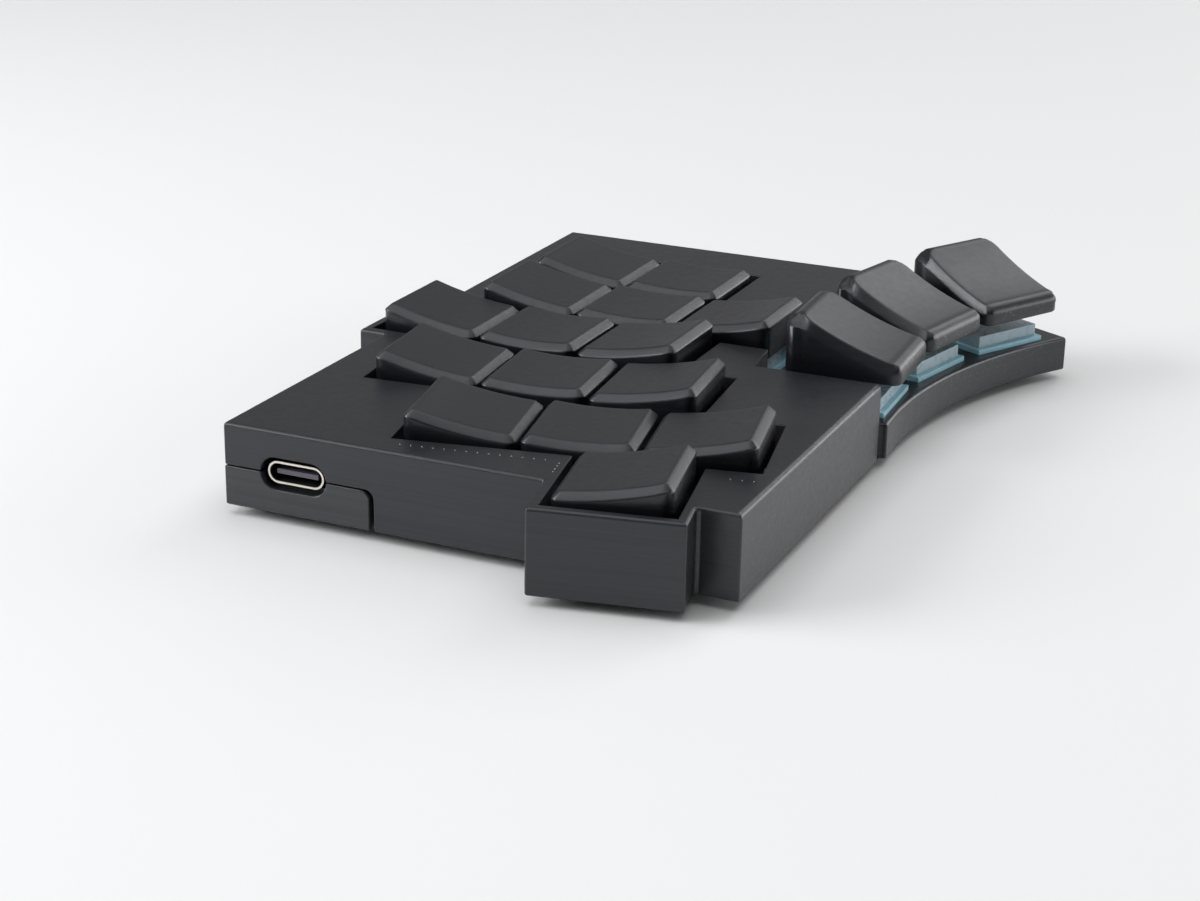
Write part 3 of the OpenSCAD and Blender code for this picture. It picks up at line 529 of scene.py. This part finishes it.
def soften(node, edge_width):
    """Copy of a node with rounded outer edges, which takes the node's place in the picture."""
    mesh = bmesh.new()
    mesh.from_mesh(cad_nodes[node].data)
    bmesh.ops.remove_doubles(mesh, verts=mesh.verts, dist=SAME_POINT * MM)
    bmesh.ops.dissolve_limit(mesh, angle_limit=FLAT, verts=mesh.verts, edges=mesh.edges)
    weight = mesh.edges.layers.float.new("bevel_weight_edge")
    shade_smooth(mesh)
    for edge in mesh.edges:
        if not edge.is_manifold:
            continue
        angle = edge.calc_face_angle_signed()
        if angle > SHARP:
            edge[weight] = edge_width(edge)
        elif angle < -SHARP:
            edge.smooth = False
    obj = new_object("soft_" + node, mesh)
    dress(obj, slots[node])
    bevel = obj.modifiers.new("rounding", "BEVEL")
    bevel.limit_method = "WEIGHT"
    bevel.width = MM
    bevel.segments = ROUNDING_STEPS
    bevel.use_clamp_overlap = False
    even = obj.modifiers.new("even_shading", "WEIGHTED_NORMAL")
    even.keep_sharp = True
    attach(obj, "case")
    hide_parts(node)


soften("top_shell", shell_edge)
soften("bottom_cover", cover_edge)


# Print dots, painted pale as painted glint
def print_dots_painted_glint():
    mesh = bmesh.new()
    for first, last, count in DOT_ROWS:
        for step in range(count):
            place = Vector(first).lerp(Vector(last), step / (count - 1))
            dot = bmesh.ops.create_icosphere(mesh, subdivisions=2, radius=DOT_RADIUS * MM)
            bmesh.ops.translate(mesh, verts=dot["verts"], vec=Vector((place.x, place.y, CASE_TOP)) * MM)
    shade_smooth(mesh)
    obj = new_object("print_dots_painted_glint", mesh)
    # The dots are painted pale grey: a painted glint on blobs of the same dark plastic
    obj.data.materials.append(moulded_plastic("print_dots_painted_glint", DOT_PAINTED_GLINT))
    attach(obj, "case")


print_dots_painted_glint()


# Keycaps
def outline(width, south, north, radius):
    """Rounded rectangle as points with outward normals, counter-clockwise from the west side's south end."""
    half = width / 2
    corners = (
        (-half + radius, south + radius, 180),
        (half - radius, south + radius, 270),
        (half - radius, north - radius, 0),
        (-half + radius, north - radius, 90),
    )
    points = []
    for index, (x, y, first) in enumerate(corners):
        for step in range(CORNER_STEPS + 1):
            angle = math.radians(first + 90 * step / CORNER_STEPS)
            normal = (math.cos(angle), math.sin(angle))
            points.append(((x + radius * normal[0], y + radius * normal[1]), normal))
        start, side_normal = points[-1]
        next_x, next_y, next_first = corners[(index + 1) % len(corners)]
        next_angle = math.radians(next_first)
        end = (next_x + radius * math.cos(next_angle), next_y + radius * math.sin(next_angle))
        for step in range(1, SIDE_STEPS):
            share = step / SIDE_STEPS
            between = tuple(a + (b - a) * share for a, b in zip(start, end))
            points.append((between, side_normal))
    return points


def bend(a, b, c):
    """Points along the curve that leaves a towards b and arrives at c from b."""
    points = []
    for step in range(BEND_STEPS + 1):
        t = step / BEND_STEPS
        points.append(tuple((1 - t) ** 2 * p + 2 * t * (1 - t) * q + t * t * r for p, q, r in zip(a, b, c)))
    return points


def bevel_profile(width, height, soft):
    """Rim of a cap as (inset, drop): a straight bevel with a small rounding at each end."""
    length = math.hypot(width, height)
    slant = (soft * width / length, soft * height / length)
    inner = bend((width + soft, 0), (width, 0), (width - slant[0], slant[1]))
    outer = bend((slant[0], height - slant[1]), (0, height), (0, height + soft))
    return inner + outer


def round_profile(size, count):
    """Full rounding of an edge as (inset, drop), with as many points as the bevel has."""
    points = []
    for step in range(count):
        angle = math.radians(90 * step / (count - 1))
        points.append((size * (1 - math.sin(angle)), size * (1 - math.cos(angle))))
    return points


class Cap:
    """A cap's plan, its height along the key, and the profiles of its sides, south lip and north back."""

    def __init__(self, width, south, north, top, side, lip, back, turn_in=0.0):
        self.width = width
        self.south = south
        self.north = north
        self.top = top
        self.side = side
        self.lip = lip
        self.back = back
        self.turn_in = turn_in
        self.top_south = south + lip[0][0]
        self.top_north = north - back[0][0]
        self.half = width / 2 - side[0][0]

    def squeeze(self, y):
        """Share of the top's width that its rounded north corners leave at a place along the key."""
        past = min(max(y - self.top_north + self.turn_in, 0.0), self.turn_in)
        return 1 - (self.turn_in - math.sqrt(self.turn_in ** 2 - past ** 2)) / self.half

    def inset_outline(self, inset, radius):
        return outline(self.width - 2 * inset, self.south + inset, self.north - inset, radius)


def rim_ring(cap, level):
    """One ring of the rim, whose drop runs from the side's profile to the ends' ones around the corners."""
    inset, drop = cap.side[level]
    lip_inset, lip_drop = cap.lip[level]
    back_inset, back_drop = cap.back[level]
    share = level / (len(cap.side) - 1)
    plan = outline(cap.width - 2 * inset, cap.south + lip_inset, cap.north - back_inset, CAP_CORNER * share)
    ring = []
    for (x, y), (_, ny) in plan:
        end_drop = back_drop if ny > 0 else lip_drop
        fall = drop + ny * ny * (end_drop - drop)
        reach = min(max(y, cap.top_south), cap.top_north)
        narrow = share + (1 - share) * cap.squeeze(y)
        ring.append(Vector((x * narrow, y, cap.top(reach) - fall)))
    return ring


def skirt_rings(cap, low, ceiling):
    """Rings from the skirt's wall, around its bevelled foot and up its inside to the ceiling."""
    wall = cap.inset_outline(0, CAP_CORNER)
    foot = cap.inset_outline(CAP_FOOT, CAP_CORNER - CAP_FOOT)
    hollow = cap.inset_outline(CAP_WALL, HOLLOW_CORNER)
    levels = ((wall, low + CAP_FOOT), (foot, low), (hollow, low), (hollow, ceiling))
    return [[Vector((x, y, z)) for (x, y), _ in plan] for plan, z in levels]


def add_rings(mesh, rings):
    """Skin from each ring to the next, closed over the last one."""
    made = [[mesh.verts.new(point) for point in ring] for ring in rings]
    count = len(made[0])
    for upper, lower in zip(made, made[1:]):
        for i in range(count):
            j = (i + 1) % count
            mesh.faces.new((upper[i], lower[i], lower[j], upper[j]))
    mesh.faces.new(list(reversed(made[-1])))


def add_top(mesh, cap):
    """Grid of faces over the hollow top, inside the rim."""
    across = [cap.half * (2 * i / SIDE_STEPS - 1) for i in range(SIDE_STEPS + 1)]
    grid = []
    for step in range(SIDE_STEPS + 1):
        y = cap.top_south + (cap.top_north - cap.top_south) * step / SIDE_STEPS
        grid.append([mesh.verts.new((x * cap.squeeze(y), y, cap.top(y))) for x in across])
    for line, ahead in zip(grid, grid[1:]):
        for i in range(SIDE_STEPS):
            mesh.faces.new((line[i], line[i + 1], ahead[i + 1], ahead[i]))


def add_legs(mesh, ceiling):
    """Two legs that reach down into the stem."""
    for side in (-1, 1):
        leg = bmesh.ops.create_cube(mesh, size=1)["verts"]
        bmesh.ops.scale(mesh, verts=leg, vec=(LEG_WIDTH, LEG_DEPTH, LEG_LENGTH))
        bmesh.ops.translate(mesh, verts=leg, vec=(side * LEG_PITCH / 2, 0, ceiling - LEG_LENGTH / 2))


def cap_mesh(cap, low, ceiling):
    mesh = bmesh.new()
    rim = [rim_ring(cap, level) for level in range(len(cap.side))]
    add_rings(mesh, rim + skirt_rings(cap, low, ceiling))
    add_top(mesh, cap)
    add_legs(mesh, ceiling)
    bmesh.ops.remove_doubles(mesh, verts=mesh.verts, dist=CAP_SAME_POINT)
    bmesh.ops.recalc_face_normals(mesh, faces=mesh.faces)
    shade_smooth(mesh)
    for edge in mesh.edges:
        if edge.is_manifold and edge.calc_face_angle() > CAP_SHARP:
            edge.smooth = False
    return mesh


def dish(radius, shift, low):
    """Height of a hollow top along the key, with its lowest line at shift."""
    return lambda y: low + radius - math.sqrt(radius * radius - (y - shift) ** 2)


def stem_top_of(name):
    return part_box("stem_" + name)[1].z / MM


def make_cap(name, cap, skirt, turn):
    """Cap over its stem, which takes the place of the frame's cap."""
    stem_top = stem_top_of(name)
    mesh = cap_mesh(cap, stem_top - skirt, stem_top)
    low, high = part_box("stem_" + name)
    middle = (low + high) / 2
    place = Matrix.Translation((middle.x, middle.y, 0)) @ Matrix.Rotation(math.radians(turn), 4, "Z")
    bmesh.ops.transform(mesh, verts=mesh.verts, matrix=place @ Matrix.Scale(MM, 4))
    obj = new_object("cap_" + name, mesh)
    dress(obj, "printed_cap")
    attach(obj, "key_" + name)
    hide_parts("keycap_" + name)


def make_finger_cap(name, row, turn):
    radius = TILT_DISH if row else HOME_DISH
    top = dish(radius, -row * TILT_SHIFT, stem_top_of(name) + CAP_DECK)
    half = CAP_DEPTH / 2
    rim = bevel_profile(CAP_RIM, CAP_RIM, SOFT_EDGE)
    make_cap(name, Cap(CAP_WIDTH, -half, half, top, rim, rim, rim), CAP_SKIRT, turn)


def make_thumb_cap(name, turn):
    south_rise = dish(THUMB_DISH, -THUMB_SHIFT, 0)(-THUMB_SOUTH)
    top = dish(THUMB_DISH, -THUMB_SHIFT, stem_top_of(name) + THUMB_DECK - south_rise)
    rim = bevel_profile(THUMB_RIM, THUMB_RIM_HEIGHT, SOFT_EDGE)
    lip = round_profile(THUMB_LIP, len(rim))
    back = round_profile(THUMB_CREST, len(rim))
    cap = Cap(THUMB_WIDTH, -THUMB_SOUTH, THUMB_NORTH, top, rim, lip, back, THUMB_TURN_IN)
    make_cap(name, cap, THUMB_SKIRT, turn)


for finger, column_turn in COLUMN_TURN.items():
    for row_name, row_tilt in ROWS.items():
        finger_key = finger + "_" + row_name
        if "keycap_" + finger_key in cad_nodes:
            make_finger_cap(finger_key, row_tilt, column_turn)
make_finger_cap("outer", ROWS["bottom"], COLUMN_TURN["pinky"])
for fan_place, thumb_key in enumerate(THUMBS):
    make_thumb_cap(thumb_key, -(FAN_FIRST + fan_place * FAN_STEP))


# Camera, light and floor
def make_camera():
    data = bpy.data.cameras.new("camera")
    data.sensor_width = SENSOR_WIDTH
    data.lens = SENSOR_WIDTH * FOCAL_PIXELS / IMAGE_WIDTH
    data.clip_start = CLIP_START
    obj = bpy.data.objects.new("camera", data)
    flat = math.cos(CAMERA_PITCH)
    forward = Vector((math.cos(CAMERA_YAW) * flat, math.sin(CAMERA_YAW) * flat, -math.sin(CAMERA_PITCH)))
    right = Vector((math.sin(CAMERA_YAW), -math.cos(CAMERA_YAW), 0))
    up = right.cross(forward)
    rolled_right = right * math.cos(CAMERA_ROLL) + up * math.sin(CAMERA_ROLL)
    rolled_up = up * math.cos(CAMERA_ROLL) - right * math.sin(CAMERA_ROLL)
    axes = Matrix((rolled_right, rolled_up, -forward)).transposed()
    obj.matrix_world = Matrix.Translation(CAMERA_PLACE) @ axes.to_4x4()
    bpy.context.scene.collection.objects.link(obj)
    bpy.context.scene.camera = obj


def make_world():
    world = bpy.data.worlds.new("studio")
    world.use_nodes = True
    background = world.node_tree.nodes["Background"]
    background.inputs["Color"].default_value = rgb(WORLD_COLOUR)
    background.inputs["Strength"].default_value = WORLD_STRENGTH
    bpy.context.scene.world = world


def floor_material():
    """Pale floor that takes the light near the object and stays pale where the lamps do not reach."""
    material, tree, shader = new_material("floor")
    shader.inputs["Base Color"].default_value = rgb(FLOOR_COLOUR)
    shader.inputs["Roughness"].default_value = FLOOR_ROUGH
    where = add(tree, "ShaderNodeTexCoord").outputs["Object"]
    reach = add(tree, "ShaderNodeVectorMath", {"operation": "LENGTH"}, i0=where).outputs["Value"]
    far = remap(tree, reach, FLOOR_LIT, FLOOR_PALE, 0.0, 1.0)
    ray = add(tree, "ShaderNodeLightPath").outputs
    seen_or_mirrored = math_node(tree, "MAXIMUM", ray["Is Camera Ray"], ray["Is Glossy Ray"])
    shown = math_node(tree, "MAXIMUM", seen_or_mirrored, ray["Is Transmission Ray"])
    glow = add(tree, "ShaderNodeEmission", Color=rgb(FLOOR_GLOW), Strength=1.0)
    blend = add(tree, "ShaderNodeMixShader", i0=math_node(tree, "MULTIPLY", far, shown))
    tree.links.new(shader.outputs["BSDF"], blend.inputs[1])
    tree.links.new(glow.outputs["Emission"], blend.inputs[2])
    tree.links.new(blend.outputs["Shader"], tree.nodes["Material Output"].inputs["Surface"])
    return material


def make_floor():
    mesh = bmesh.new()
    bmesh.ops.create_grid(mesh, x_segments=1, y_segments=1, size=FLOOR_HALF)
    obj = new_object("floor", mesh)
    obj.data.materials.append(floor_material())


def soft_box(name, place, aim, width, height, watts):
    data = bpy.data.lights.new(name, "AREA")
    data.shape = "RECTANGLE"
    data.size = width
    data.size_y = height
    data.energy = watts
    obj = bpy.data.objects.new(name, data)
    obj.location = place
    obj.rotation_euler = (Vector(aim) - Vector(place)).to_track_quat("-Z", "Y").to_euler()
    bpy.context.scene.collection.objects.link(obj)


make_camera()
make_world()
make_floor()
for light in SOFT_BOXES:
    soft_box(*light)
bpy.context.scene.view_settings.view_transform = "Standard"
